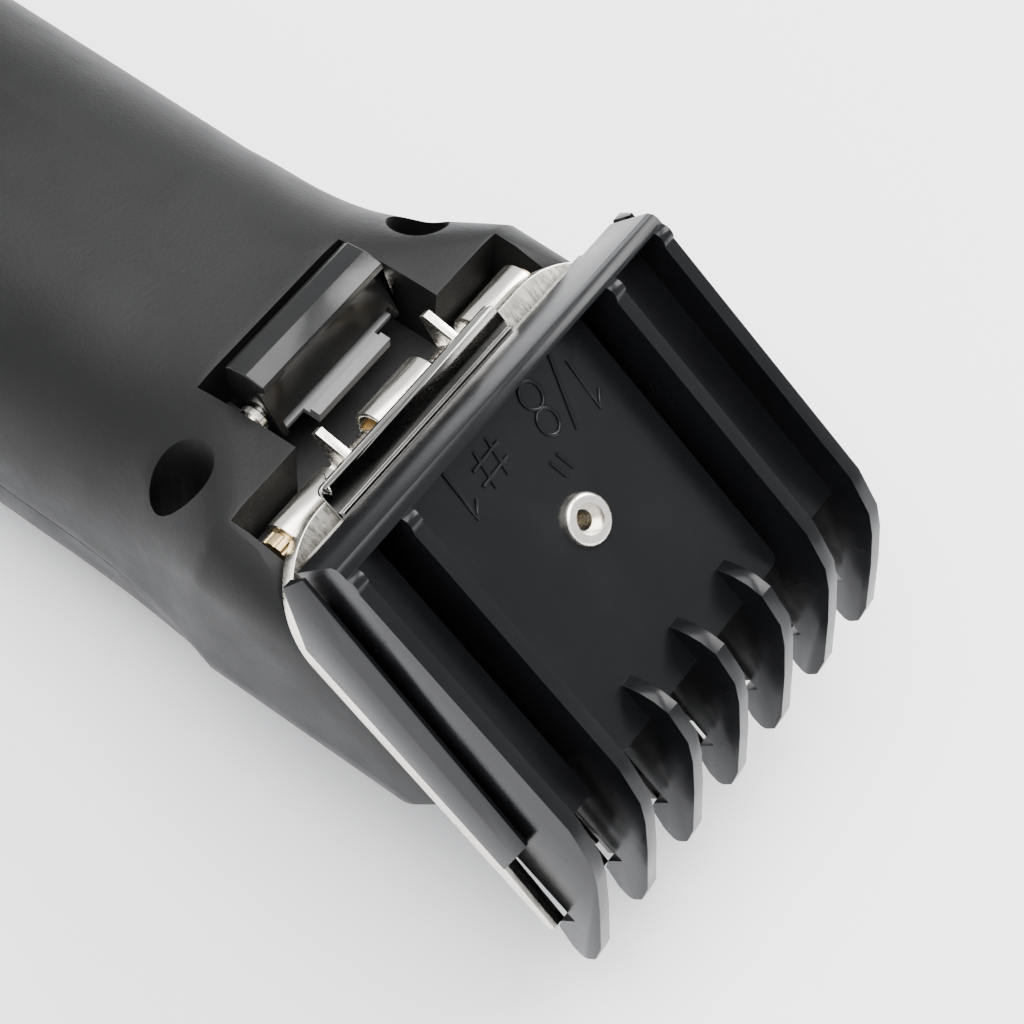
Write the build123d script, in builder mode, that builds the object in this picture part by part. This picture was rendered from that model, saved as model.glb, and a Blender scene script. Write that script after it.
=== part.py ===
"""Hair clipper with a detachable blade and a clip-on guide comb, lying on its back.

Row frame, in millimetres: +X runs from the tail to the blade, +Z is up from the
surface that the barrel lies on, and Y = 0 is the plane of symmetry. The origin is
under the middle of the overall length.

Blade frame: its datum is the guide comb's rear top edge. Along (l) runs toward the
tooth tips, across is the row's +Y, and out (n) is square to the blade's skin face.
"""

import os
from math import cos, pi, radians, sin

from build123d import *

os.makedirs("parts", exist_ok=True)

# ---------------------------------------------------------------- driving sizes
overall_length = 194.0  # end cap to guide comb fins
blade_tilt = radians(37.0)  # blade face below the barrel's axis
barrel_d = 42.0
wall = 2.4

fin_pitch = 7.5  # guide comb, seven fins
fin_thickness = 1.4
guard_front = (46.4, -12.8)  # along, out: foremost point of a fin
guard_shoulder = (34.9, -1.4)
skirt_half = 25.0

blade_half = 24.8
blade_heel = -2.0
blade_tip = 42.0
blade_face_n = -13.0
blade_thickness = 2.0
tooth_pitch = 1.75

cutter_half = 20.0
cutter_thickness = 2.2
blade_gap = 0.05

hinge_axis = (-0.9, -17.35)  # along, out
hinge_pin_r = 1.1
knuckle_r = 2.2

crank_throw = 1.25
gear_module = 0.7
pinion_teeth = 12
gear_teeth = 24

screw_r = 1.2
running = 0.06  # radial clearance of a turning fit
gap = 0.3  # between pieces that move past each other

# ------------------------------------------------------------- derived positions
tilt_cos = cos(blade_tilt)
tilt_sin = sin(blade_tilt)
datum_x = overall_length / 2 - (guard_front[0] * tilt_cos + guard_front[1] * tilt_sin)
datum_z = 54.0
tail_x = -overall_length / 2
axis_z = barrel_d / 2

blade_under = blade_face_n - blade_thickness
cutter_top = blade_under - blade_gap
cutter_under = cutter_top - cutter_thickness


def place(along, out, across=0.0):
    """Row position of a point given in the blade frame."""
    x = datum_x + along * tilt_cos + out * tilt_sin
    z = datum_z - along * tilt_sin + out * tilt_cos
    return Vector(x, across, z)


def face_plane(out, along=0.0, across=0.0):
    """Plane parallel to the blade's skin face; sketch x is along, sketch y is across."""
    return Plane(place(along, out, across), x_dir=(tilt_cos, 0, -tilt_sin), z_dir=(tilt_sin, 0, tilt_cos))


blade_side = Plane(place(0, 0), x_dir=(tilt_cos, 0, -tilt_sin), z_dir=(0, -1, 0))
row_side = Plane.XZ


def cross_plane(x, z=0.0, y=0.0):
    """Plane square to the barrel's axis; sketch x is +Y, sketch y is +Z."""
    return Plane((x, y, z), x_dir=(0, 1, 0), z_dir=(1, 0, 0))


def outline(plane, points, radius=0.0):
    """Closed straight-sided face on a plane, with its corners rounded on request."""
    with BuildSketch(plane) as drawn:
        with BuildLine():
            Polyline(*points, close=True)
        make_face()
        if radius:
            fillet(drawn.vertices(), radius)
    return drawn.sketch


def rod(start, end, radius, mode=Mode.ADD):
    """Round bar between two points, joined to the part being built."""
    line = Vector(*end) - Vector(*start)
    with Locations(Plane(start, z_dir=line)):
        Cylinder(radius, line.length, align=(Align.CENTER, Align.CENTER, Align.MIN), mode=mode)


def block(x, y, z, mode=Mode.ADD):
    """Box given by its (low, high) pairs."""
    middle = ((x[0] + x[1]) / 2, (y[0] + y[1]) / 2, (z[0] + z[1]) / 2)
    with Locations(middle):
        Box(x[1] - x[0], y[1] - y[0], z[1] - z[0], mode=mode)


def save(part, name):
    part.label = name
    export_step(part, f"parts/{name}.step")


# ------------------------------------------------------------------- housing body
barrel_start = tail_x + 7.0
neck_x = datum_x - 45.0
head_x = datum_x - 16.0
nose_x = datum_x + 20.0
head_top = datum_z - 11.0
# x, width, top, top corner radius, how far each side leans in at the bottom, bottom
# corner radius of the body's cross-sections from neck to head
barrel_shape = (barrel_d, barrel_d, 18.0, 2.6, 18.8)
flare = [
    (neck_x, *barrel_shape),
    (datum_x - 36.0, barrel_d + 0.2, barrel_d, 17.0, 3.0, 18.6),
    (datum_x - 29.0, barrel_d + 1.0, barrel_d + 0.2, 15.0, 4.0, 18.0),
    (datum_x - 22.0, barrel_d + 3.4, barrel_d + 0.7, 11.0, 6.0, 17.5),
    (head_x, barrel_d + 6.6, head_top, 7.0, 8.4, 17.0),
]
seam_z = axis_z - 1.0
seam_gap = 0.1
cheek_n = blade_under - 0.5
nose_length = 26.0
cover_x = datum_x - 17.0


def body_section(x, width, top, top_r, lean, low_r, inset):
    half = width / 2 - inset
    with BuildSketch(cross_plane(x)) as drawn:
        with BuildLine():
            Polyline(
                (-half + lean, inset),
                (half - lean, inset),
                (half, axis_z),
                (half, top - inset),
                (-half, top - inset),
                (-half, axis_z),
                close=True,
            )
        make_face()
        fillet(drawn.vertices().group_by(Axis.Y)[-1], top_r - inset)
        fillet([v for v in drawn.vertices() if abs(v.Y - axis_z) < 0.01], 8.0)
        fillet(drawn.vertices().group_by(Axis.Y)[0], low_r - inset)
    return drawn.sketch


def body_solid(inset):
    """The body's outer form, or its hollow when inset by the wall."""
    sections = [body_section(*station, inset) for station in flare]
    with BuildPart() as form:
        loft(sections)
        extrude(sections[0], amount=barrel_start - neck_x)
        extrude(sections[-1], amount=nose_x - head_x)
    return form.part


def head_profile(inset):
    """Side view of the body: long barrel, head sloped under the blade, rounded nose."""
    seat_rear = place(0.0, cheek_n)
    nose_top = place(nose_length - inset, cheek_n)
    nose_low = place(nose_length - inset, cheek_n - 7.0)
    with BuildSketch(row_side) as drawn:
        with BuildLine():
            Polyline(
                (tail_x - 5, 60),
                (datum_x - 15.5, 60),
                (datum_x - 15.5, head_top - inset),
                (seat_rear.X, seat_rear.Z),
                (nose_top.X, nose_top.Z),
                (nose_low.X, nose_low.Z),
            )
            ThreePointArc(
                (nose_low.X, nose_low.Z),
                (nose_low.X - 11.0 - 0.1 * inset, 9.0 + 0.9 * inset),
                (nose_low.X - 35.0, inset),
            )
            Polyline((nose_low.X - 35.0, inset), (tail_x - 5, inset), (tail_x - 5, 60))
        make_face()
    return drawn.sketch


outer_form = body_solid(0.0)
hollow_form = body_solid(wall)

recess_half = 10.5
recess_rear = datum_x - 27.2
pocket_rear = datum_x - 15.7
pocket_half = 19.8
pocket_floor = datum_z - 19.5
seat_front = datum_x - 7.0
seat_t = 2.0

front_well = (datum_x - 23.3, 17.7)
rear_well = (tail_x + 20.0, 12.0)
cover_screw = (datum_x - 8.0, 12.0)
cover_seat = 8.0
latch_pin_x = datum_x - 21.6
latch_pin_z = datum_z - 13.6
latch_pin_r = 0.9
hinge_screw = (datum_x - 8.8, 14.0)
lever_x = 40.0
lever_pin_r = 2.0
lever_low = 9.4
lever_high = 18.8
drive_tip_r = 2.5
tip_low = -19.4
switch_x = -60.0
well_floor = seam_z + 4.0
cover_screw_tip = seam_z + 6.0

with BuildPart() as hollow:
    add(hollow_form)
    extrude(head_profile(wall), amount=40, both=True, mode=Mode.INTERSECT)

with BuildPart() as envelope:
    add(outer_form)
    extrude(head_profile(0.0), amount=40, both=True, mode=Mode.INTERSECT)

with BuildPart() as shell:
    add(envelope.part)
    add(hollow.part, mode=Mode.SUBTRACT)
    # cutter and drive room under the blade, between the cheeks
    nose_wall = nose_length - wall
    room = outline(
        blade_side,
        [(6.0, 5), (6.0, -24), (nose_wall, -24), (nose_wall, -18.2), (nose_length + 5, -18.2), (nose_length + 5, 5)],
    )
    extrude(room, amount=blade_half - 2.6, both=True, mode=Mode.SUBTRACT)

# shelf for the hinge and latch, hung between the side walls
with BuildPart() as seat:
    block((recess_rear - seat_t, seat_front), (-22.6, 22.6), (pocket_floor - seat_t, head_top - 0.6))
    add(envelope.part, mode=Mode.INTERSECT)

with BuildPart() as top_housing:
    add(shell.part)
    add(seat.part)
    for side in (-1, 1):
        x, y = front_well
        rod((x, side * y, seam_z), (x, side * y, pocket_floor), 4.6)
        x, y = rear_well
        rod((x, side * y, seam_z), (x, side * y, axis_z + 15.0), 4.0)
        x, y = cover_screw
        rod((x, side * y, seam_z), (x, side * y, pocket_floor - 1.0), 3.4)
        x, y = hinge_screw
        rod((x, side * y, pocket_floor - 8.0), (x, side * y, pocket_floor - 1.0), 2.4)
    add(envelope.part, mode=Mode.INTERSECT)
    split(bisect_by=Plane.XY.offset(seam_z + seam_gap), keep=Keep.TOP)
    # latch recess and hinge pocket
    block((recess_rear, pocket_rear + 1), (-recess_half, recess_half), (pocket_floor, 60), mode=Mode.SUBTRACT)
    block((pocket_rear, 100), (-pocket_half, pocket_half), (pocket_floor, 60), mode=Mode.SUBTRACT)
    for side in (-1, 1):
        for (x, y), well_r in ((front_well, 3.1), (rear_well, 2.8)):
            rod((x, side * y, well_floor), (x, side * y, 60), well_r, mode=Mode.SUBTRACT)
            rod((x, side * y, 0), (x, side * y, 60), screw_r + 0.3, mode=Mode.SUBTRACT)
        rod((latch_pin_x, side * 9.0, latch_pin_z), (latch_pin_x, side * 12.2, latch_pin_z), latch_pin_r,
            mode=Mode.SUBTRACT)
        x, y = hinge_screw
        rod((x, side * y, pocket_floor - 6.5), (x, side * y, pocket_floor + 1), screw_r, mode=Mode.SUBTRACT)
        x, y = cover_screw
        rod((x, side * y, 0), (x, side * y, cover_screw_tip), screw_r, mode=Mode.SUBTRACT)
    # switch slot and its shallow recess
    block((switch_x - 7.5, switch_x + 7.5), (-3.2, 3.2), (axis_z + 12, 60), mode=Mode.SUBTRACT)
    block((switch_x - 11.0, switch_x + 11.0), (-5.2, 5.2), (barrel_d - 1.1, 60), mode=Mode.SUBTRACT)
save(top_housing.part, "top_housing")

with BuildPart() as bottom_housing:
    add(shell.part)
    for side in (-1, 1):
        for (x, y), boss_r in ((front_well, 4.6), (rear_well, 4.0)):
            rod((x, side * y, 1.4), (x, side * y, seam_z), boss_r)
    add(envelope.part, mode=Mode.INTERSECT)
    split(bisect_by=Plane.XY.offset(seam_z - seam_gap), keep=Keep.BOTTOM)
    split(bisect_by=Plane.YZ.offset(cover_x - seam_gap), keep=Keep.BOTTOM)
    for side in (-1, 1):
        for x, y in (front_well, rear_well):
            rod((x, side * y, seam_z - 7.0), (x, side * y, 60), screw_r, mode=Mode.SUBTRACT)
save(bottom_housing.part, "bottom_housing")

with BuildPart() as nose_cover:
    add(shell.part)
    rod((lever_x, 0, 1.4), (lever_x, 0, lever_low - gap), 4.2)
    for side in (-1, 1):
        x, y = cover_screw
        rod((x, side * y, 1.0), (x, side * y, seam_z), 3.4)
    add(envelope.part, mode=Mode.INTERSECT)
    split(bisect_by=Plane.XY.offset(seam_z - seam_gap), keep=Keep.BOTTOM)
    split(bisect_by=Plane.YZ.offset(cover_x + seam_gap), keep=Keep.TOP)
    rod((lever_x, 0, 3.0), (lever_x, 0, 60), lever_pin_r, mode=Mode.SUBTRACT)
    for side in (-1, 1):
        x, y = cover_screw
        rod((x, side * y, 0), (x, side * y, 60), screw_r + 0.3, mode=Mode.SUBTRACT)
        rod((x, side * y, -5), (x, side * y, cover_seat), 2.7, mode=Mode.SUBTRACT)
save(nose_cover.part, "nose_cover")

# ------------------------------------------------------------------------ screws


def screw(x, y, z, head_r, head_h, length, up=1.0):
    """Pan-head screw whose head sits on z, its shank pointing away from up."""
    rod((x, y, z), (x, y, z + up * head_h), head_r)
    rod((x, y, z), (x, y, z - up * length), screw_r)
    block((x - 0.3, x + 0.3), (y - head_r, y + head_r), sorted((z + up * (head_h - 0.6), z + up * (head_h + 1))),
          mode=Mode.SUBTRACT)
    block((x - head_r, x + head_r), (y - 0.3, y + 0.3), sorted((z + up * (head_h - 0.6), z + up * (head_h + 1))),
          mode=Mode.SUBTRACT)


with BuildPart() as front_screws:
    for side in (-1, 1):
        screw(front_well[0], side * front_well[1], well_floor, 2.5, 2.0, 10.0)
save(front_screws.part, "front_housing_screws")

with BuildPart() as rear_screws:
    for side in (-1, 1):
        screw(rear_well[0], side * rear_well[1], well_floor, 2.5, 2.0, 10.0)
save(rear_screws.part, "rear_housing_screws")

with BuildPart() as cover_screws:
    for side in (-1, 1):
        screw(cover_screw[0], side * cover_screw[1], cover_seat, 2.4, 1.8, cover_screw_tip - cover_seat, up=-1.0)
save(cover_screws.part, "cover_screws")

# ---------------------------------------------------------------- tail of the body
cap_wall = wall + 1.6
gland_end = barrel_start + 3.5
with BuildPart() as end_cap:
    extrude(body_section(barrel_start - seam_gap, *barrel_shape, 0.0), amount=tail_x - barrel_start + seam_gap)
    fillet(end_cap.faces().sort_by(Axis.X)[0].edges(), 4.0)
    extrude(body_section(barrel_start - seam_gap, *barrel_shape, wall + 0.15), amount=4.0)
    extrude(body_section(barrel_start + 4.0, *barrel_shape, cap_wall), amount=-4.0 - 7.0 + wall,
            mode=Mode.SUBTRACT)
    rod((tail_x + 1.0, 0, axis_z), (gland_end - 2.0, 0, axis_z), 7.5)
    rod((tail_x - 1, 0, axis_z), (gland_end + 9, 0, axis_z), 5.13, mode=Mode.SUBTRACT)
    for side in (-1, 1):
        for row in (-1, 0, 1):
            with Locations((tail_x, side * 11.5, axis_z + row * 5.0)):
                Box(12, 6.0, 2.0, mode=Mode.SUBTRACT)
save(end_cap.part, "end_cap")

cord_r = 2.9
with BuildPart() as cord_gland:
    rod((tail_x, 0, axis_z), (gland_end, 0, axis_z), 5.1)
    rod((gland_end - 1.9, 0, axis_z), (gland_end, 0, axis_z), 6.6)
    rod((tail_x - 1, 0, axis_z), (gland_end + 1, 0, axis_z), cord_r, mode=Mode.SUBTRACT)
save(cord_gland.part, "cord_gland")

screen_x = barrel_start + 4.6
with BuildPart() as intake_screen:
    extrude(body_section(screen_x, *barrel_shape, wall + 0.3), amount=0.6)
    with BuildSketch(cross_plane(screen_x, axis_z)):
        Circle(4.0)
        for ring_r, holes in ((7.0, 12), (10.2, 18), (13.4, 24)):
            with PolarLocations(ring_r, holes):
                Circle(1.05)
    extrude(amount=0.6, mode=Mode.SUBTRACT)
save(intake_screen.part, "intake_screen")

# ------------------------------------------------------------------------- switch
with BuildPart() as switch_button:
    block((switch_x - 5.8, switch_x + 2.2), (-2.9, 2.9), (38.0, 42.6))
    for rib in range(4):
        x = switch_x - 4.6 + 1.8 * rib
        block((x, x + 0.7), (-2.9, 2.9), (42.1, 43), mode=Mode.SUBTRACT)
    block((switch_x - 8.5, switch_x + 5.0), (-4.4, 4.4), (38.0, 39.25))
save(switch_button.part, "switch_button")

with BuildPart() as switch_body:
    block((switch_x - 9.5, switch_x + 9.5), (-5.5, 5.5), (29.5, 37.7))
    for x in (-6.0, 0.0, 6.0):
        block((switch_x + x - 1.0, switch_x + x + 1.0), (-0.4, 0.4), (25.5, 29.5))
save(switch_body.part, "switch_body")

with BuildPart() as power_board:
    block((-83.0, -50.0), (-7.4, 7.4), (9.0, 10.6))
    rod((-76.0, 0, 10.6), (-76.0, 0, 20.0), 4.5)
    for y in (-6.0, -2.0, 2.0, 6.0):
        rod((-66.0, y, 11.9), (-60.5, y, 11.9), 1.3)
    block((-58.0, -52.0), (-7.0, 7.0), (10.6, 18.0))
save(power_board.part, "power_board")

# -------------------------------------------------------------------------- motor
motor_z = 26.2
can_r = 12.5
can_x = (-44.0, 4.0)
shaft_r = 1.25
bearing_r = 4.0


def on_shaft(x0, x1, radius, mode=Mode.ADD):
    rod((x0, 0, motor_z), (x1, 0, motor_z), radius, mode)


with BuildPart() as motor_can:
    on_shaft(*can_x, can_r)
    on_shaft(can_x[0] - 1, can_x[1] - 1.6, can_r - 1.2, mode=Mode.SUBTRACT)
    on_shaft(can_x[1] - 3, can_x[1] + 1, bearing_r + 0.02, mode=Mode.SUBTRACT)
    for side in (-1, 1):
        rod((can_x[1] - 2.5, side * 8.0, motor_z), (can_x[1] + 1, side * 8.0, motor_z), 1.0, mode=Mode.SUBTRACT)
save(motor_can.part, "motor_can")

with BuildPart() as motor_end_bell:
    on_shaft(can_x[0] - 2.0, can_x[0], can_r)
    on_shaft(can_x[0], can_x[0] + 2.0, can_r - 1.25)
    on_shaft(can_x[0] + 0.5, can_x[0] + 3.0, can_r - 2.6, mode=Mode.SUBTRACT)
    on_shaft(can_x[0] - 3.0, can_x[0] + 3.0, bearing_r, mode=Mode.SUBTRACT)
save(motor_end_bell.part, "motor_end_bell")

with BuildPart() as field_magnets:
    on_shaft(-34.0, -6.0, can_r - 1.25)
    on_shaft(-35.0, -5.0, 9.3, mode=Mode.SUBTRACT)
    block((-35, -5), (-20, 20), (motor_z - 3.6, motor_z + 3.6), mode=Mode.SUBTRACT)
save(field_magnets.part, "field_magnets")

with BuildPart() as front_bearing:
    on_shaft(can_x[1] - 2.6, can_x[1] + 0.6, bearing_r)
    on_shaft(can_x[1] - 4, can_x[1] + 2, shaft_r + running, mode=Mode.SUBTRACT)
save(front_bearing.part, "front_bearing")

with BuildPart() as rear_bearing:
    on_shaft(can_x[0] - 2.6, can_x[0] + 0.5, bearing_r)
    on_shaft(can_x[0] - 4, can_x[0] + 2, shaft_r + running, mode=Mode.SUBTRACT)
save(rear_bearing.part, "rear_bearing")

with BuildPart() as armature_shaft:
    on_shaft(can_x[0] - 3.2, 17.0, shaft_r)
save(armature_shaft.part, "armature_shaft")

core_x = (-31.0, -9.0)
slots = 8
with BuildPart() as armature_core:
    on_shaft(*core_x, 8.7)
    on_shaft(core_x[0] - 1, core_x[1] + 1, shaft_r, mode=Mode.SUBTRACT)
    with BuildSketch(cross_plane(core_x[0], motor_z)):
        with PolarLocations(6.3, slots):
            Rectangle(3.2, 2.0)
        with PolarLocations(8.4, slots):
            Rectangle(2.4, 0.9)
    extrude(amount=core_x[1] - core_x[0], mode=Mode.SUBTRACT)
save(armature_core.part, "armature_core")

with BuildPart() as armature_windings:
    for x0, x1 in ((core_x[0] - 3.4, core_x[0] - 0.05), (core_x[1] + 0.05, core_x[1] + 3.4)):
        on_shaft(x0, x1, 7.4)
        on_shaft(x0 - 1, x1 + 1, shaft_r + 0.4, mode=Mode.SUBTRACT)
    fillet(armature_windings.edges().filter_by(GeomType.CIRCLE).filter_by(lambda e: e.radius > 7), 1.2)
    with BuildSketch(cross_plane(core_x[0] - 0.05, motor_z)):
        with PolarLocations(6.3, slots):
            Rectangle(2.8, 1.6)
    extrude(amount=core_x[1] - core_x[0] + 0.1)
save(armature_windings.part, "armature_windings")

with BuildPart() as commutator:
    on_shaft(-41.5, -35.5, 3.3)
    on_shaft(-36.3, -35.5, 4.0)
    on_shaft(-42, -35, shaft_r, mode=Mode.SUBTRACT)
    with BuildSketch(cross_plane(-42.0, motor_z)):
        with PolarLocations(3.6, slots, start_angle=22.5):
            Rectangle(1.4, 0.35)
    extrude(amount=7.0, mode=Mode.SUBTRACT)
save(commutator.part, "commutator")

brush_x = -39.2
with BuildPart() as carbon_brushes:
    for side in (-1, 1):
        block((brush_x - 1.2, brush_x + 1.2), sorted((side * 3.38, side * 7.4)), (motor_z - 1.2, motor_z + 1.2))
save(carbon_brushes.part, "carbon_brushes")

with BuildPart() as brush_holders:
    for side in (-1, 1):
        block((brush_x - 1.9, brush_x + 1.9), sorted((side * 4.4, side * 11.1)), (motor_z - 1.9, motor_z + 1.9))
        block((brush_x - 1.25, brush_x + 1.25), sorted((side * 4.0, side * 10.6)),
              (motor_z - 1.25, motor_z + 1.25), mode=Mode.SUBTRACT)
save(brush_holders.part, "brush_holders")


def coil(start, direction, radius, wire_r, length, turns):
    """Open helical spring along a direction from a start point."""
    base = Plane(start, z_dir=direction)
    path = base.location * Helix(pitch=length / turns, height=length, radius=radius)
    section = Plane(path @ 0, z_dir=path % 0) * Circle(wire_r)
    return sweep(section, path=path, is_frenet=True)


brush_springs = Compound(
    [coil((brush_x, side * 7.5, motor_z), (0, side, 0), 0.85, 0.15, 2.9, 4) for side in (-1, 1)]
)
save(brush_springs, "brush_springs")

# --------------------------------------------------------------- gears and lever
gear_z = motor_z - gear_module * (pinion_teeth + gear_teeth) / 2 - 0.12
plate_x = (can_x[1] + 0.1, can_x[1] + 2.6)
post_r = 1.5
gear_x = (10.0, 17.0)


def gear_face(x, z, teeth, phase):
    """Straight-flanked spur gear section, phase in radians from +Y."""
    pitch_r = gear_module * teeth / 2
    root_r = pitch_r - 1.2 * gear_module
    tip_r = pitch_r + 0.9 * gear_module
    step = 2 * pi / teeth
    rim = []
    for tooth in range(teeth):
        middle = phase + tooth * step
        for radius, share in ((root_r, -0.33), (tip_r, -0.13), (tip_r, 0.13), (root_r, 0.33)):
            angle = middle + share * step
            rim.append((radius * cos(angle), radius * sin(angle)))
    return outline(cross_plane(x, z), rim)


with BuildPart() as gear_plate:
    extrude(body_section(plate_x[0], *barrel_shape, wall + 0.3), amount=plate_x[1] - plate_x[0])
    on_shaft(0, 10, bearing_r + 0.1, mode=Mode.SUBTRACT)
    rod((0, 0, gear_z), (10, 0, gear_z), post_r, mode=Mode.SUBTRACT)
    for side in (-1, 1):
        rod((0, side * 8.0, motor_z), (10, side * 8.0, motor_z), 1.2, mode=Mode.SUBTRACT)
        block((0, 10), sorted((side * 12.5, side * 15.0)), (axis_z - 9.0, axis_z - 4.0), mode=Mode.SUBTRACT)
save(gear_plate.part, "gear_plate")

with BuildPart() as motor_screws:
    for side in (-1, 1):
        rod((plate_x[1], side * 8.0, motor_z), (plate_x[1] + 1.2, side * 8.0, motor_z), 2.0)
        rod((can_x[1] - 2.0, side * 8.0, motor_z), (plate_x[1], side * 8.0, motor_z), 1.0)
save(motor_screws.part, "motor_screws")

with BuildPart() as gear_post:
    rod((plate_x[0], 0, gear_z), (gear_x[1] - 2.4, 0, gear_z), post_r)
save(gear_post.part, "gear_post")

with BuildPart() as pinion:
    extrude(gear_face(9.4, motor_z, pinion_teeth, pi / pinion_teeth), amount=7.2)
    on_shaft(9, 20, shaft_r, mode=Mode.SUBTRACT)
save(pinion.part, "pinion")

crank_x = (gear_x[1] - 1.6, 23.0)
crank_r = 1.25
crank_z = gear_z + crank_throw
with BuildPart() as drive_gear:
    extrude(gear_face(gear_x[0], gear_z, gear_teeth, 0.0), amount=6.0)
    rod((gear_x[0] - 0.8, 0, gear_z), (gear_x[1], 0, gear_z), 4.2)
    rod((gear_x[0] - 2, 0, gear_z), (gear_x[1] - 2.2, 0, gear_z), post_r + running, mode=Mode.SUBTRACT)
    rod((crank_x[0], 0, crank_z), (crank_x[1], 0, crank_z), crank_r, mode=Mode.SUBTRACT)
save(drive_gear.part, "drive_gear")

with BuildPart() as crank_pin:
    rod((crank_x[0], 0, crank_z), (crank_x[1], 0, crank_z), crank_r)
save(crank_pin.part, "crank_pin")

# the fork's slot takes the crank pin's whole circle at either end of the lever's swing
fork_half = crank_r + 2 * crank_throw + gap
fork_x = (gear_x[1] + 0.8, crank_x[1] + 0.8)
drive_l = 16.0
finger_low = -36.0
with BuildPart() as drive_lever:
    rod((lever_x, 0, lever_low), (lever_x, 0, lever_high), 4.6)
    block((fork_x[0], fork_x[1] + 3.0), (-fork_half - 1.6, fork_half + 1.6), (lever_low, lever_high))
    block((fork_x[0] - 1, fork_x[1]), (-fork_half, fork_half), (0, 40), mode=Mode.SUBTRACT)
    block((fork_x[1] + 1.0, lever_x), (-2.6, 2.6), (11.0, 17.5))
    block((lever_x, place(drive_l, finger_low).X + 1.0), (-2.8, 2.8), (12.0, 17.5))
    rod(place(drive_l, finger_low), place(drive_l, tip_low), 2.1)
    rod(place(drive_l, tip_low), place(drive_l, tip_low + 1.8), 1.5)
    rod((lever_x, 0, 0), (lever_x, 0, 40), lever_pin_r + running, mode=Mode.SUBTRACT)
save(drive_lever.part, "drive_lever")

with BuildPart() as drive_tip:
    rod(place(drive_l, tip_low), place(drive_l, cutter_top - 0.75), drive_tip_r)
    rod(place(drive_l, tip_low), place(drive_l, tip_low + 1.8), 1.5, mode=Mode.SUBTRACT)
save(drive_tip.part, "drive_tip")

with BuildPart() as lever_pivot:
    rod((lever_x, 0, 3.0), (lever_x, 0, lever_high + 1.6), lever_pin_r)
    rod((lever_x, 0, lever_high + 0.3), (lever_x, 0, lever_high + 1.6), 3.4)
save(lever_pivot.part, "lever_pivot")

# ------------------------------------------------------------------- blade hinge
hinge_x = place(*hinge_axis).X
hinge_z = place(*hinge_axis).Z
plate_top = pocket_floor + 1.2


def on_axis(y0, y1, radius, mode=Mode.ADD, x=hinge_x, z=hinge_z):
    rod((x, y0, z), (x, y1, z), radius, mode)


with BuildPart() as hinge_bracket:
    block((datum_x - 14.8, datum_x - 12.8), (-18.5, 18.5), (pocket_floor, plate_top))
    for side in (-1, 1):
        block((datum_x - 14.8, datum_x - 7.2), sorted((side * 9.5, side * 18.5)), (pocket_floor, plate_top))
        block((hinge_x - 1.0, hinge_x + 0.7), sorted((side * 10.2, side * 17.8)), (pocket_floor, hinge_z))
        on_axis(side * 10.2, side * 17.8, knuckle_r)
        x, y = hinge_screw
        rod((x, side * y, pocket_floor - 1), (x, side * y, plate_top + 1), screw_r, mode=Mode.SUBTRACT)
    on_axis(-19, 19, hinge_pin_r, mode=Mode.SUBTRACT)
save(hinge_bracket.part, "hinge_bracket")

with BuildPart() as hinge_pin:
    on_axis(-18.6, 18.6, hinge_pin_r)
    on_axis(-19.4, -18.1, 1.6)
    with Locations(Plane((hinge_x, -18.75, hinge_z), z_dir=(0, 1, 0))):
        with PolarLocations(1.75, 10):
            Cylinder(0.3, 1.3, mode=Mode.SUBTRACT)
save(hinge_pin.part, "hinge_pin")

hinge_spring = Compound(
    [coil((hinge_x, side * 4.35, hinge_z), (0, side, 0), 1.45, 0.225, 2.6, 4) for side in (-1, 1)]
)
save(hinge_spring, "hinge_spring")

with BuildPart() as hinge_screws:
    for side in (-1, 1):
        x, y = hinge_screw
        screw(x, side * y, plate_top, 1.5, 0.9, 6.5)
save(hinge_screws.part, "hinge_screws")

# ------------------------------------------------------------------ release latch
latch_half = 8.75


def row_points(points):
    """Side-view points measured from the guide comb's rear top edge."""
    return [(datum_x + x, datum_z + z) for x, z in points]


with BuildPart() as latch_lever:
    hood = outline(
        row_side,
        row_points([
            (-25.2, -14.6), (-25.2, -8.9), (-24.7, -8.35), (-22.8, -8.0), (-20.8, -8.25), (-20.5, -8.8),
            (-20.8, -9.5), (-21.4, -9.8), (-18.4, -14.6),
        ]),
        0.15,
    )
    extrude(hood, amount=latch_half, both=True)
    inside = outline(
        row_side,
        row_points([(-24.2, -16), (-24.2, -9.3), (-22.3, -9.3), (-22.3, -10.0), (-19.3, -14.8), (-19.3, -16)]),
    )
    extrude(inside, amount=latch_half - 0.85, both=True, mode=Mode.SUBTRACT)
    block((datum_x - 20.6, datum_x - 16), (-7.9, 7.9), (datum_z - 16, datum_z - 13.3), mode=Mode.SUBTRACT)
    on_axis(-7.9, 7.9, 1.75, Mode.SUBTRACT, latch_pin_x, latch_pin_z)
    for side in (-1, 1):
        on_axis(side * (latch_half - 0.85), side * latch_half, 1.9, Mode.ADD, latch_pin_x, latch_pin_z)
        on_axis(side * 7, side * 10, latch_pin_r + running, Mode.SUBTRACT, latch_pin_x, latch_pin_z)
save(latch_lever.part, "latch_lever")

with BuildPart() as latch_keeper:
    block((datum_x - 18.2, datum_x - 17.1), (-5.3, 5.3), (datum_z - 14.7, datum_z - 13.4))
    block((datum_x - 19.8, datum_x - 18.2), (-5.3, 5.3), (datum_z - 14.7, datum_z - 14.1))
    for side in (-1, 1):
        block((datum_x - 19.8, datum_x - 19.0), sorted((side * 5.2, side * 7.85)), (datum_z - 14.7, datum_z - 14.1))
save(latch_keeper.part, "latch_keeper")

with BuildPart() as latch_pin:
    on_axis(-12.0, 12.0, latch_pin_r, Mode.ADD, latch_pin_x, latch_pin_z)
    for side in (-1, 1):
        on_axis(side * 9.05, side * 9.7, 1.5, Mode.ADD, latch_pin_x, latch_pin_z)
save(latch_pin.part, "latch_pin")

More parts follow.
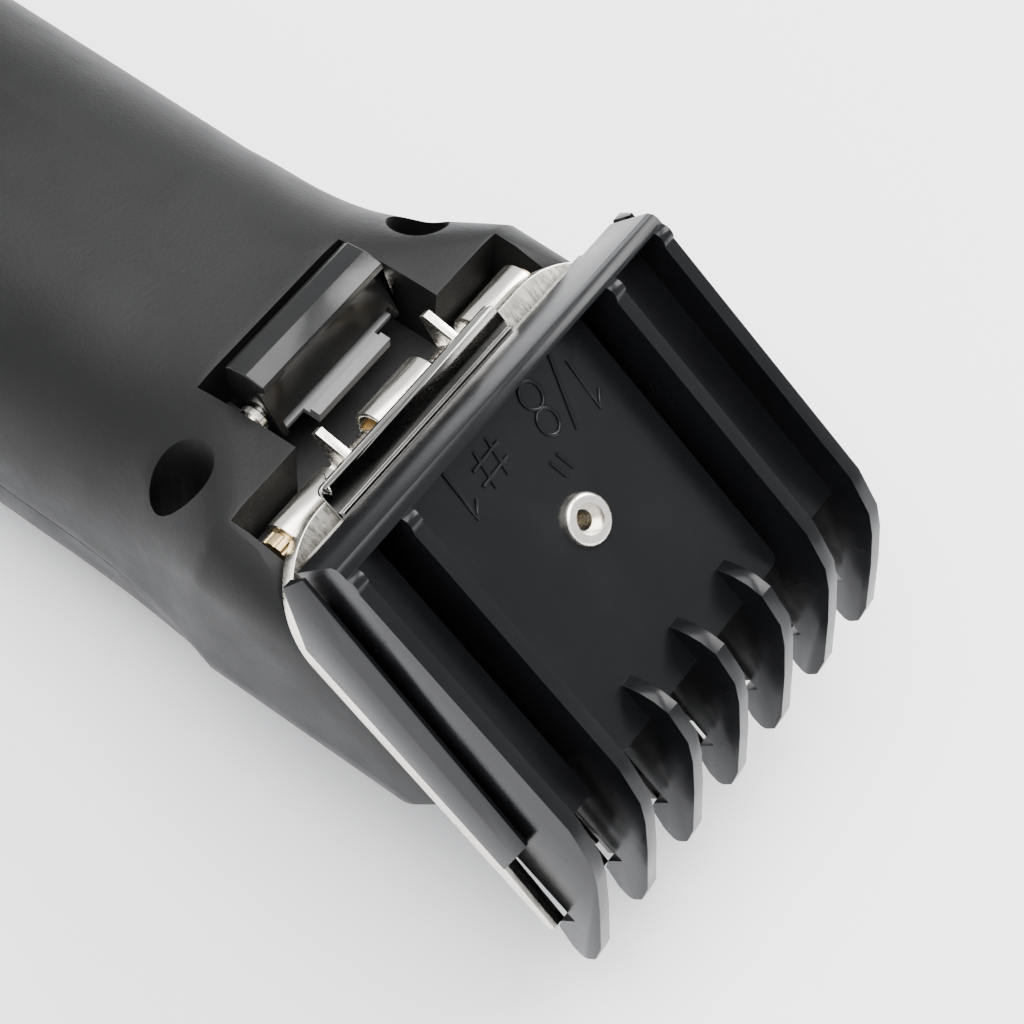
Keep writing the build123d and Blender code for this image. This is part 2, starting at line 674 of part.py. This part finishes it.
latch_spring = coil((latch_pin_x, -4.6, latch_pin_z), (0, 1, 0), 1.2, 0.2, 9.2, 10)
save(latch_spring, "latch_spring")

# ---------------------------------------------------------------- blade and cutter
slot_root = 31.0
blade_screw_l = 10.3
side_slots = 13
with BuildPart() as comb_blade:
    with BuildSketch(face_plane(blade_face_n)) as plan:
        with BuildLine():
            Polyline(
                (blade_heel, -blade_half),
                (blade_tip, -blade_half),
                (blade_tip, blade_half),
                (blade_heel, blade_half),
                close=True,
            )
        make_face()
        fillet(plan.vertices().group_by(Axis.X)[0], 10.0)
        with Locations([((slot_root + blade_tip + 1) / 2, n * tooth_pitch) for n in range(-side_slots, side_slots + 1)]):
            Rectangle(blade_tip + 1 - slot_root, 0.9, mode=Mode.SUBTRACT)
    extrude(amount=-blade_thickness)
    ramp = outline(
        blade_side,
        [(31.0, blade_face_n), (blade_tip + 1, blade_face_n - 1.1), (blade_tip + 1, 0), (31.0, 0)],
    )
    extrude(ramp, amount=30, both=True, mode=Mode.SUBTRACT)
    for side in (-1, 1):
        rod(place(blade_screw_l, blade_under - 1, side * 6.0), place(blade_screw_l, blade_under + 1.4, side * 6.0),
            1.0, mode=Mode.SUBTRACT)
save(comb_blade.part, "comb_blade")

cutter_heel = 13.0
cutter_tip = 40.5
cutter_pitch = 2.3
with BuildPart() as cutter_blade:
    with BuildSketch(face_plane(cutter_top)):
        with Locations(((cutter_heel + cutter_tip) / 2, 0)):
            Rectangle(cutter_tip - cutter_heel, 2 * cutter_half)
        with Locations([(37.0, n * cutter_pitch) for n in range(-8, 9)]):
            Rectangle(9.0, 1.1, mode=Mode.SUBTRACT)
    extrude(amount=-cutter_thickness)
    with BuildSketch(face_plane(cutter_under)):
        with Locations((cutter_heel + 3.0, 0)):
            Rectangle(8.0, 2 * (drive_tip_r + 0.25))
    extrude(amount=cutter_thickness - 0.5, mode=Mode.SUBTRACT)
    with BuildSketch(face_plane(cutter_under)):
        with Locations((27.0, 0)):
            SlotOverall(26.0, 5.0, rotation=90)
    extrude(amount=0.9, mode=Mode.SUBTRACT)
save(cutter_blade.part, "cutter_blade")


def tray(along, out, half, mode=Mode.ADD):
    """Box laid out in the blade frame, centred across."""
    corners = [(along[0], out[0]), (along[1], out[0]), (along[1], out[1]), (along[0], out[1])]
    extrude(outline(blade_side, corners), amount=half, both=True, mode=mode)


def blade_holes(low, high, radius):
    for side in (-1, 1):
        rod(place(blade_screw_l, low, side * 6.0), place(blade_screw_l, high, side * 6.0), radius, mode=Mode.SUBTRACT)


tongue_top = -16.6
roll = place(-1.6, -17.35)
roll_r = (1.9, 2.35)
with BuildPart() as blade_socket:
    tray((1.5, 12.4), (-18.0, blade_under), 9.6)
    tray((1.0, 13.0), (-19.0, tongue_top), 8.6, mode=Mode.SUBTRACT)
    blade_holes(-20, -14, 1.0)
save(blade_socket.part, "blade_socket")

with BuildPart() as tension_spring:
    tray((9.0, 12.6), (tongue_top - 0.5, tongue_top), 8.4)
    tray((12.0, 12.6), (cutter_under - 0.7, tongue_top), 8.4)
    tray((12.0, 19.0), (cutter_under - 0.7, cutter_under - 0.05), 8.4)
    tray((12.6, 20.0), (-20, -10), 5.6, mode=Mode.SUBTRACT)
    blade_holes(-20, -14, 1.0)
save(tension_spring.part, "tension_spring")

with BuildPart() as blade_screws:
    for side in (-1, 1):
        head = tongue_top - 0.5
        rod(place(blade_screw_l, head, side * 6.0), place(blade_screw_l, blade_under + 1.4, side * 6.0), 1.0)
        rod(place(blade_screw_l, head - 0.5, side * 6.0), place(blade_screw_l, head, side * 6.0), 1.5)
save(blade_screws.part, "blade_screws")

with BuildPart() as hinge_tongue:
    tray((1.6, 8.6), (tongue_top - 1.0, tongue_top), 8.4)
    tray((0.4, 2.0), (tongue_top - 1.0, tongue_top), 3.9)
    with BuildSketch(blade_side.offset(-8.5)):
        with BuildLine():
            Polyline(
                (-5.7, -17.4),
                (-2.4, -16.0),
                (0.4, -15.3),
                (1.3, -15.8),
                (1.3, tongue_top),
                (2.8, tongue_top),
                (2.8, tongue_top - 1.0),
                (0.4, -19.4),
                (-2.4, -19.2),
                (-5.7, -18.2),
                close=True,
            )
        make_face()
    extrude(amount=17.0)
    tray((-7.0, 1.6), (-21, -14), 7.6, mode=Mode.SUBTRACT)
    on_axis(-3.9, 3.9, roll_r[1], Mode.ADD, roll.X, roll.Z)
    tray((0.3, 1.7), (tongue_top - 1.0, tongue_top), 3.9)
    on_axis(-7.5, 7.5, roll_r[0], Mode.SUBTRACT, roll.X, roll.Z)
    on_axis(-9, 9, hinge_pin_r + running, mode=Mode.SUBTRACT)
save(hinge_tongue.part, "hinge_tongue")

# -------------------------------------------------------------------- guide comb
wall_rear = -1.35
wall_front = 0.15
pad_half = 12.75
pad_n = -4.2
pad_front = 31.8
floor_n = -8.6
sole_n = blade_face_n + 0.1
outer_fin = 3 * fin_pitch
eyelet_l = 14.6
clip_top = blade_face_n + 0.7
fin_toe = blade_tip + 0.6


def fin_outline(back):
    """Side of a comb fin: its back end's points, then the long convex slope and blunt tip."""
    front = [
        guard_shoulder,
        (37.4, -3.3),
        (41.2, -7.1),
        guard_front,
        (47.9, -15.4),
        (47.9, -17.3),
        (46.2, -17.4),
        (43.4, -16.6),
        (fin_toe, -15.4),
        (fin_toe, sole_n),
    ]
    with BuildSketch(blade_side) as drawn:
        with BuildLine():
            Polyline(*back, *front, close=True)
        make_face()
        fillet(drawn.vertices().group_by(Axis.X)[-1], 0.75)
    return drawn.sketch


def across(w):
    """Shift from the plane of symmetry."""
    return Location((0, w, 0))


def skirt_section(along, top, lip):
    """Cross-section of the ledge that runs down each side, its top sloping inward."""
    plane = Plane(place(along, 0), x_dir=(0, 1, 0), z_dir=(tilt_cos, 0, -tilt_sin))
    inner = skirt_half - 1.1
    points = [(inner, sole_n), (skirt_half, sole_n), (skirt_half, top), (skirt_half - 0.7, lip), (inner, lip)]
    return outline(plane, points)


with BuildPart() as skirt:
    loft([skirt_section(-1.3, -7.2, -4.6), skirt_section(34.0, -9.2, -7.2)], ruled=True)
    slant = outline(blade_side, [(33.8, sole_n - 1), (33.8, sole_n), (31.3, -6.8), (31.3, 0), (40, 0), (40, sole_n - 1)])
    extrude(slant, amount=30, both=True, mode=Mode.SUBTRACT)
    heel = outline(blade_side, [(-3, -7.4), (-1.35, -7.4), (5.8, sole_n), (5.8, sole_n - 1), (-3, sole_n - 1)])
    extrude(heel, amount=30, both=True, mode=Mode.SUBTRACT)

with BuildPart() as guide_comb:
    high_back = [(-0.3, 0.0), (30.5, 0.0)]
    high_heel = [(27.5, sole_n), (27.5, clip_top + 0.2), (4.5, clip_top + 0.2), (-0.3, -7.2)]
    low_back = [(27.4, floor_n), (27.4, -4.3), (27.9, -3.3), (28.6, -2.3), (29.7, -1.3), (31.2, -0.6)]
    for n in (-3, -2, 2, 3):
        side = fin_outline(high_heel + high_back)
        extrude(across(n * fin_pitch) * side, amount=fin_thickness / 2, both=True)
        with Locations(Plane(place(0.95, -0.6, n * fin_pitch), z_dir=(0, 1, 0))):
            Cylinder(1.05, fin_thickness)
    for n in (-1, 0, 1):
        side = fin_outline([(30.0, sole_n), (30.0, floor_n)] + low_back)
        extrude(across(n * fin_pitch) * side, amount=fin_thickness / 2, both=True)
    # rear wall: it steps inward below its dark undercut
    rear = outline(
        blade_side,
        [
            (wall_rear, -7.1), (wall_rear, -0.9), (-1.05, -0.25), (-0.5, 0), (wall_front, 0), (wall_front, -6.2),
            (1.3, -7.1),
        ],
    )
    extrude(rear, amount=outer_fin + 0.7, both=True)
    tray((-0.25, 1.3), (-11.5, -7.0), outer_fin - 1.5)
    # thumb pad: a tray turned upside down, carried on the floor
    with BuildSketch(face_plane(pad_n)) as pad:
        with Locations(((wall_front + pad_front) / 2, 0)):
            Rectangle(pad_front - wall_front, 2 * pad_half)
        fillet(pad.vertices().group_by(Axis.X)[-1], 1.0)
    extrude(amount=-1.8)
    tray((1.0, 30.0), (floor_n - 1.4, floor_n), outer_fin)
    for side in (-1, 1):
        leg = outline(blade_side, [(1.0, floor_n - 0.5), (1.0, pad_n - 0.6), (30.4, pad_n - 0.6), (29.9, floor_n - 0.5)])
        extrude(across(side * (pad_half - 0.8)) * leg, amount=0.7, both=True)
        # side shelf between the two outer fins, and its own leg
        with BuildSketch(face_plane(pad_n)) as shelf:
            with Locations(((wall_front + pad_front) / 2, side * 19.6)):
                Rectangle(pad_front - wall_front, 4.7)
        extrude(amount=-1.6)
        extrude(across(side * 18.0) * leg, amount=0.7, both=True)
        foot = outline(blade_side, [(5.8, sole_n), (4.2, -11.6), (30.5, -11.6), (31.5, sole_n)])
        extrude(across(side * (skirt_half - 1.0)) * foot, amount=1.0, both=True)
    for n in (-1, 0, 1):
        rib = outline(blade_side, [(1.0, floor_n), (1.0, pad_n - 1), (30.0, pad_n - 1), (30.0, floor_n)])
        extrude(across(n * fin_pitch) * rib, amount=fin_thickness / 2, both=True)
    add(skirt.part)
    add(mirror(skirt.part, about=Plane.XZ))
    # boss and hole for the eyelet
    rod(place(eyelet_l, clip_top + 0.05), place(eyelet_l, pad_n), 4.0)
    rod(place(eyelet_l, -20), place(eyelet_l, 5), 1.6, mode=Mode.SUBTRACT)
save(guide_comb.part, "guide_comb")

clip_rear = -3.4
clip_span = (-14.4, 11.2)
clip_mid = (clip_span[0] + clip_span[1]) / 2
with BuildPart() as comb_clip:
    with BuildSketch(face_plane(blade_face_n + 0.05)) as sheet:
        with Locations(((clip_rear + 26.0) / 2, clip_mid)):
            Rectangle(26.0 - clip_rear, clip_span[1] - clip_span[0])
        fillet(sheet.vertices().group_by(Axis.X)[-1], 6.0)
        fillet(sheet.vertices().group_by(Axis.X)[0], 0.8)
        with Locations((21.0, 0)):
            SlotOverall(12.0, 3.0, rotation=90, mode=Mode.SUBTRACT)
    extrude(amount=0.65)
    rim = outline(blade_side, [(-0.45, clip_top - 0.1), (-0.45, -11.85), (0.35, -11.85), (0.35, clip_top - 0.1)])
    extrude(across(clip_mid) * rim, amount=(clip_span[1] - clip_span[0]) / 2 - 0.3, both=True)
    rod(place(eyelet_l, -20), place(eyelet_l, 5), 1.6, mode=Mode.SUBTRACT)
save(comb_clip.part, "comb_clip")

with BuildPart() as comb_eyelet:
    rod(place(eyelet_l, blade_face_n + 0.05), place(eyelet_l, pad_n), 1.6)
    rod(place(eyelet_l, pad_n), place(eyelet_l, pad_n + 0.7), 2.5)
    fillet(comb_eyelet.edges().filter_by(GeomType.CIRCLE).filter_by(lambda e: e.radius > 2).sort_by(Axis.Z)[-1], 0.45)
    rod(place(eyelet_l, -20), place(eyelet_l, 5), 1.0, mode=Mode.SUBTRACT)
    rod(place(eyelet_l, pad_n - 0.6), place(eyelet_l, 5), 1.5, mode=Mode.SUBTRACT)
save(comb_eyelet.part, "comb_eyelet")
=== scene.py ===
"""Looks for the hair clipper: materials, rounded edges and fine detail over the CAD frame."""

import math

import bpy
from mathutils import Matrix, Vector


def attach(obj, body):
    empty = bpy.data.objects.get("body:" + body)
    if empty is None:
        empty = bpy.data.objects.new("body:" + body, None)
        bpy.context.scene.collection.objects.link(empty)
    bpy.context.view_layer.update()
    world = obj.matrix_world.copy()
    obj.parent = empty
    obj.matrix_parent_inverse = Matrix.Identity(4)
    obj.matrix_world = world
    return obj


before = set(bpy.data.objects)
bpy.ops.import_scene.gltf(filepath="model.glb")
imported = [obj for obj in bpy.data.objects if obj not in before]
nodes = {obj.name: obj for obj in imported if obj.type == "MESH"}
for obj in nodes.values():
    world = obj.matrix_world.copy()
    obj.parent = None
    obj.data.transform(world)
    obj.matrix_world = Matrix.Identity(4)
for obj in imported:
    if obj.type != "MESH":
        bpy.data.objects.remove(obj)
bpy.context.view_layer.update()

MM = 0.001

# ---------------------------------------------------------------- blade frame
TILT = math.radians(37.0)
COS, SIN = math.cos(TILT), math.sin(TILT)
FRONT_X = 97.0  # foremost point of the comb, half the overall length
FRONT_ALONG, FRONT_OUT = 46.4, -12.8
DATUM_Z = 54.0
DATUM = Vector((FRONT_X - (FRONT_ALONG * COS + FRONT_OUT * SIN), 0.0, DATUM_Z))


def place(along, out, across=0.0):
    """Point of the blade frame (mm) in the row frame (m)."""
    x = DATUM.x + along * COS + out * SIN
    z = DATUM.z - along * SIN + out * COS
    return Vector((x, across, z)) * MM


# ------------------------------------------------------------------ materials
def new_material(name, color, rough, metallic=0.0):
    """Material with its node tree and its Principled shader."""
    mat = bpy.data.materials.new(name)
    mat.use_nodes = True
    shader = mat.node_tree.nodes["Principled BSDF"]
    shader.inputs["Base Color"].default_value = (*color, 1)
    shader.inputs["Roughness"].default_value = rough
    shader.inputs["Metallic"].default_value = metallic
    return mat, mat.node_tree, shader


def coords(tree, scale=(1, 1, 1)):
    """Object coordinates, stretched on request."""
    source = tree.nodes.new("ShaderNodeTexCoord")
    mapping = tree.nodes.new("ShaderNodeMapping")
    mapping.inputs["Scale"].default_value = scale
    tree.links.new(source.outputs["Object"], mapping.inputs["Vector"])
    return mapping.outputs["Vector"]


def noise(tree, vector, scale, detail=3.0, rough=0.5):
    """Noise value at the given coordinates."""
    node = tree.nodes.new("ShaderNodeTexNoise")
    node.inputs["Scale"].default_value = scale
    node.inputs["Detail"].default_value = detail
    node.inputs["Roughness"].default_value = rough
    tree.links.new(vector, node.inputs["Vector"])
    return node.outputs["Fac"]


def ramp(tree, value, stops):
    """Colours picked by a value, from (position, colour) stops."""
    node = tree.nodes.new("ShaderNodeValToRGB")
    while len(node.color_ramp.elements) < len(stops):
        node.color_ramp.elements.new(0.5)
    for element, (at, color) in zip(node.color_ramp.elements, stops):
        element.position = at
        element.color = (*color, 1)
    tree.links.new(value, node.inputs["Fac"])
    return node.outputs["Color"]


def grey(v):
    """Neutral colour, or a ramp stop that stands for a number."""
    return (v, v, v)


def bump(tree, shader, height, strength, distance):
    """Surface relief driven by a height value."""
    node = tree.nodes.new("ShaderNodeBump")
    node.inputs["Strength"].default_value = strength
    node.inputs["Distance"].default_value = distance
    tree.links.new(height, node.inputs["Height"])
    tree.links.new(node.outputs["Normal"], shader.inputs["Normal"])


def grained(name, color, rough, spread=0.06, grain=2600.0, depth=0.00004, strength=0.5, shade=0.25,
            shine=0.5):
    """Moulded plastic: fine spark-eroded grain, slightly uneven gloss and tone."""
    mat, tree, shader = new_material(name, color, rough)
    at = coords(tree)
    tone = noise(tree, at, 60.0, 4.0)
    low = tuple(c * (1 - shade) for c in color)
    high = tuple(min(1.0, c * (1 + shade)) for c in color)
    tree.links.new(ramp(tree, tone, [(0.3, low), (0.7, high)]), shader.inputs["Base Color"])
    fine = noise(tree, at, grain, 2.0)
    patches = noise(tree, at, 220.0, 5.0)
    gloss = ramp(tree, patches, [(0.25, grey(rough - spread)), (0.75, grey(rough + spread))])
    tree.links.new(gloss, shader.inputs["Roughness"])
    bump(tree, shader, fine, strength, depth)
    shader.inputs["Specular IOR Level"].default_value = shine
    return mat


def metal(name, color, rough, spread=0.08, stretch=(1, 1, 1), lines=1800.0, depth=0.000006, strength=0.6,
          stain=0.12):
    """Plated or ground metal with directional scratches and light staining."""
    mat, tree, shader = new_material(name, color, rough, 1.0)
    at = coords(tree, stretch)
    plain = coords(tree)
    tone = noise(tree, plain, 130.0, 5.0, 0.6)
    low = tuple(c * (1 - stain) for c in color)
    high = tuple(min(1.0, c * (1 + stain * 0.4)) for c in color)
    tree.links.new(ramp(tree, tone, [(0.32, low), (0.62, high)]), shader.inputs["Base Color"])
    scratch = noise(tree, at, lines, 4.0, 0.65)
    gloss = ramp(tree, scratch, [(0.3, grey(max(0.02, rough - spread))), (0.7, grey(rough + spread))])
    tree.links.new(gloss, shader.inputs["Roughness"])
    bump(tree, shader, scratch, strength, depth)
    return mat


black_body = grained("black_body", grey(0.0065), 0.5, 0.05, 2400.0, 0.00005, 0.55, shine=0.17)
black_comb = grained("black_comb", (0.0036, 0.0037, 0.0043), 0.25, 0.05, 900.0, 0.000012, 0.35, shine=0.2)
black_latch = grained("black_latch", grey(0.006), 0.2, 0.06, 700.0, 0.00002, 0.4, shine=0.3)
grey_plastic = grained("grey_plastic", grey(0.11), 0.45, 0.05)
gland_rubber = grained("gland_rubber", grey(0.012), 0.62, 0.05, 1800.0, 0.00006, 0.5)
lever_nylon = grained("lever_nylon", (0.66, 0.63, 0.54), 0.42)
board_green = grained("board_green", (0.03, 0.16, 0.06), 0.4)
magnet_dark = grained("magnet_dark", grey(0.05), 0.6)
carbon = grained("carbon", grey(0.03), 0.55)
satin = metal("satin_nickel", (0.86, 0.82, 0.74), 0.27, 0.07, (1, 0.08, 1), 2600.0)
blade_steel = metal("blade_steel", (0.88, 0.84, 0.74), 0.27, 0.08, (0.25, 1, 0.25), 2200.0)
dark_steel = metal("dark_steel", (0.30, 0.30, 0.31), 0.34, 0.08)
zinc = metal("zinc", (0.62, 0.63, 0.64), 0.35, 0.08)
brass = metal("brass", (0.72, 0.55, 0.30), 0.33, 0.08)
bronze = metal("bronze", (0.45, 0.32, 0.18), 0.5, 0.08)
copper = metal("copper", (0.62, 0.27, 0.12), 0.35, 0.08)
can_steel = metal("can_steel", (0.50, 0.51, 0.53), 0.4, 0.08)
clip_mirror = metal("clip_mirror", (0.36, 0.35, 0.33), 0.07, 0.03, (1, 1, 1), 3000.0, 0.000003, 0.4, 0.3)


def math_node(tree, operation, *values):
    """Math node fed by sockets or by fixed numbers."""
    node = tree.nodes.new("ShaderNodeMath")
    node.operation = operation
    for socket, value in zip(node.inputs, values):
        if isinstance(value, float):
            socket.default_value = value
        else:
            tree.links.new(value, socket)
    return node.outputs[0]


def paint_teeth_shade(mat, start, fade, half, color):
    """Paints shade on the blade's teeth: darkens them in front of a line across it, but not its two side
    edges.
    """
    tree = mat.node_tree
    base = tree.nodes["Principled BSDF"].inputs["Base Color"]
    clean = base.links[0].from_socket
    source = tree.nodes.new("ShaderNodeTexCoord")
    along = tree.nodes.new("ShaderNodeVectorMath")
    along.operation = "DOT_PRODUCT"
    along.inputs[1].default_value = (COS / MM, 0, -SIN / MM)
    tree.links.new(source.outputs["Object"], along.inputs[0])
    level = tree.nodes.new("ShaderNodeMapRange")
    zero = DATUM.x * COS - DATUM.z * SIN
    level.inputs["From Min"].default_value = zero + start
    level.inputs["From Max"].default_value = zero + start + fade
    tree.links.new(along.outputs["Value"], level.inputs["Value"])
    split = tree.nodes.new("ShaderNodeSeparateXYZ")
    tree.links.new(source.outputs["Object"], split.inputs["Vector"])
    inside = math_node(tree, "LESS_THAN", math_node(tree, "ABSOLUTE", split.outputs["Y"]), half * MM)
    share = math_node(tree, "MULTIPLY", level.outputs["Result"], inside)
    mixed = tree.nodes.new("ShaderNodeMix")
    mixed.data_type = "RGBA"
    # A, B and Result have one socket for each data type; 6, 7 and 2 are the colour ones
    first, second, result = mixed.inputs[6], mixed.inputs[7], mixed.outputs[2]
    tree.links.new(share, mixed.inputs["Factor"])
    tree.links.new(clean, first)
    second.default_value = (*color, 1)
    tree.links.new(result, base)


# painted shade: the blade's teeth are darkened where they lie in shade under the comb
paint_teeth_shade(blade_steel, start=29.5, fade=2.0, half=24.3, color=(0.045, 0.043, 0.040))

finish_of = {
    black_body: ["top_housing", "bottom_housing", "nose_cover", "end_cap"],
    black_comb: ["guide_comb"],
    black_latch: ["latch_lever"],
    grey_plastic: ["switch_body", "switch_button", "gear_plate", "latch_keeper"],
    gland_rubber: ["cord_gland"],
    lever_nylon: ["drive_lever", "drive_gear"],
    board_green: ["power_board"],
    magnet_dark: ["field_magnets"],
    carbon: ["carbon_brushes"],
    satin: ["hinge_bracket", "hinge_spring", "hinge_tongue", "latch_pin", "latch_spring", "tension_spring",
            "comb_eyelet", "gear_post", "lever_pivot", "crank_pin", "armature_shaft", "brush_springs"],
    blade_steel: ["comb_blade", "cutter_blade"],
    dark_steel: ["blade_socket", "armature_core", "intake_screen"],
    zinc: ["front_housing_screws", "rear_housing_screws", "cover_screws", "hinge_screws", "blade_screws",
           "motor_screws"],
    brass: ["hinge_pin", "brush_holders", "pinion", "drive_tip"],
    bronze: ["front_bearing", "rear_bearing"],
    copper: ["armature_windings", "commutator"],
    can_steel: ["motor_can", "motor_end_bell"],
    clip_mirror: ["comb_clip"],
}
for mat, names in finish_of.items():
    for name in names:
        node = nodes[name]
        node.data.materials.clear()
        node.data.materials.append(mat)


# --------------------------------------------------------------- rounded edges
SAME_POINT = 0.002  # mm between points that are one point
FLAT_ANGLE = 0.4  # degrees between faces that are one face
SHARP_ANGLE = 30.0


def soften(name, width):
    """Rounds the sharp edges of a CAD node with modifiers."""
    node = nodes[name]
    for polygon in node.data.polygons:
        polygon.use_smooth = True
    weld = node.modifiers.new("weld", "WELD")
    weld.merge_threshold = SAME_POINT * MM
    flat = node.modifiers.new("flat", "DECIMATE")
    flat.decimate_type = "DISSOLVE"
    flat.angle_limit = math.radians(FLAT_ANGLE)
    edge = node.modifiers.new("edge", "BEVEL")
    edge.width = width * MM
    edge.segments = 3
    edge.limit_method = "ANGLE"
    edge.angle_limit = math.radians(SHARP_ANGLE)
    edge.harden_normals = True
    edge.use_clamp_overlap = True


for name, width in (
    ("top_housing", 0.45),
    ("bottom_housing", 0.25),
    ("nose_cover", 0.25),
    ("end_cap", 0.25),
    ("guide_comb", 0.3),
    ("latch_lever", 0.2),
    ("comb_blade", 0.08),
    ("cutter_blade", 0.08),
    ("comb_clip", 0.12),
    ("hinge_bracket", 0.15),
    ("hinge_tongue", 0.12),
    ("switch_button", 0.25),
    ("cord_gland", 0.3),
):
    soften(name, width)

# ------------------------------------------------------- raised marks and burr
PAD_OUT = -4.2  # face of the comb's thumb pad
MARK_RISE = 0.02
MARK_R = 0.19
BURR_R = 0.14


def ridge(name, strokes, radius, body, material):
    """Raised round-backed lines through lists of row-frame points."""
    line = bpy.data.curves.new(name, "CURVE")
    line.dimensions = "3D"
    line.bevel_depth = radius * MM
    line.bevel_resolution = 2
    line.use_fill_caps = True
    for points in strokes:
        spline = line.splines.new("POLY")
        spline.points.add(len(points) - 1)
        for knot, point in zip(spline.points, points):
            knot.co = (*point, 1)
    drawn = bpy.data.objects.new(name + "_line", line)
    bpy.context.collection.objects.link(drawn)
    bpy.context.view_layer.update()
    mesh = bpy.data.meshes.new_from_object(drawn.evaluated_get(bpy.context.evaluated_depsgraph_get()))
    bpy.data.objects.remove(drawn)
    mesh.name = name
    for polygon in mesh.polygons:
        polygon.use_smooth = True
    piece = bpy.data.objects.new(name, mesh)
    bpy.context.collection.objects.link(piece)
    piece.data.materials.clear()
    piece.data.materials.append(material)
    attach(piece, body)


def on_pad(points):
    """Row-frame points of a line drawn on the pad as (along, across) pairs."""
    return [place(along, PAD_OUT + MARK_RISE, across) for along, across in points]


def loop(along, across, radius, count=18):
    """Closed oval, a little narrower across than along."""
    turn = [2 * math.pi * step / count for step in range(count + 1)]
    return [(along + radius * math.cos(a), across + radius * 0.8 * math.sin(a)) for a in turn]


marks = {
    "mark_one": [[(3.15, 8.9), (8.6, 8.4), (7.3, 9.6)]],
    "mark_slash": [[(1.6, 7.85), (8.3, 5.2)]],
    "mark_eight": [loop(2.9, 3.8, 1.45), loop(5.75, 3.45, 1.35)],
    "mark_inch": [[(8.4, 2.0), (10.4, 2.4)], [(8.5, 0.9), (10.5, 1.3)]],
    "mark_hash": [
        [(2.4, -2.4), (6.2, -3.0)],
        [(2.4, -4.2), (6.2, -4.8)],
        [(3.4, -1.7), (3.6, -5.5)],
        [(5.0, -1.9), (5.2, -5.7)],
    ],
    "mark_size": [[(1.6, -7.9), (6.8, -8.2), (5.5, -7.0)]],
}
for name, strokes in marks.items():
    ridge(name, [on_pad(points) for points in strokes], MARK_R, "guard", black_comb)

# curled burr at the clip's trimmed end
BURR_AT = (-3.3, -12.0, -14.2)  # along, out, across
BURR_CURL = (0.9, 0.5)  # half widths of the curl, along and out
BURR_PITCH = 0.35  # across, for each radian
curl_angles = [0.5 * step for step in range(9)]
curl = [place(BURR_AT[0] + BURR_CURL[0] * math.sin(a), BURR_AT[1] + BURR_CURL[1] * math.cos(a),
              BURR_AT[2] + BURR_PITCH * a) for a in curl_angles]
ridge("clip_burr", [curl], BURR_R, "guard", clip_mirror)

# ----------------------------------------------------------- camera and lights
CAMERA_AT = Vector((143.9, -117.9, 274.2))
CAMERA_RIGHT = Vector((0.8048, 0.5920, 0.0396))
CAMERA_UP = Vector((-0.5276, 0.6840, 0.5028))
CAMERA_FORWARD = Vector((-0.2713, 0.4250, -0.8635))
FLOOR_HALF = 3.0

camera = bpy.data.cameras.new("camera")
camera.lens = 105.43
camera.sensor_width = 36.0
camera.clip_start, camera.clip_end = 0.01, 5.0
shooter = bpy.data.objects.new("camera", camera)
bpy.context.collection.objects.link(shooter)
axes = (CAMERA_RIGHT.normalized(), CAMERA_UP.normalized(), -CAMERA_FORWARD.normalized())
shooter.matrix_world = Matrix.Translation(CAMERA_AT * MM) @ Matrix(axes).transposed().to_4x4()
bpy.context.scene.camera = shooter

floor_mat, tree, shader = new_material("floor", (0.92, 0.92, 0.93), 0.6)
clouds = noise(tree, coords(tree), 3.0, 3.0)
tone = ramp(tree, clouds, [(0.3, (0.91, 0.91, 0.925)), (0.7, (0.94, 0.94, 0.95))])
tree.links.new(tone, shader.inputs["Base Color"])
mesh = bpy.data.meshes.new("floor")
corners = [(x * FLOOR_HALF, y * FLOOR_HALF, 0) for x, y in ((-1, -1), (1, -1), (1, 1), (-1, 1))]
mesh.from_pydata(corners, [], [(0, 1, 2, 3)])
floor = bpy.data.objects.new("floor", mesh)
floor.data.materials.append(floor_mat)
bpy.context.collection.objects.link(floor)

world = bpy.data.worlds.new("world")
bpy.context.scene.world = world
world.use_nodes = True
world.node_tree.nodes["Background"].inputs["Color"].default_value = (0.95, 0.97, 1.0, 1)
world.node_tree.nodes["Background"].inputs["Strength"].default_value = 1.25


def softbox(name, at, aim, size, power, color=(1, 1, 1)):
    """Rectangular lamp aimed at a point."""
    light = bpy.data.lights.new(name, "AREA")
    light.shape = "RECTANGLE"
    light.size, light.size_y = size
    light.energy = power
    light.color = color
    lamp = bpy.data.objects.new(name, light)
    bpy.context.collection.objects.link(lamp)
    lamp.location = at
    lamp.rotation_euler = (Vector(aim) - Vector(at)).to_track_quat("-Z", "Y").to_euler()


softbox("key", (0.15, 0.75, 0.75), (0.05, 0, 0.02), (0.7, 0.5), 20.0)
softbox("top", (0.0, -0.1, 1.0), (0.05, 0, 0.02), (0.9, 0.9), 24.0)
softbox("side", (0.55, -0.75, 0.45), (0.05, 0, 0.03), (0.6, 0.5), 1.5, (0.93, 0.96, 1.0))
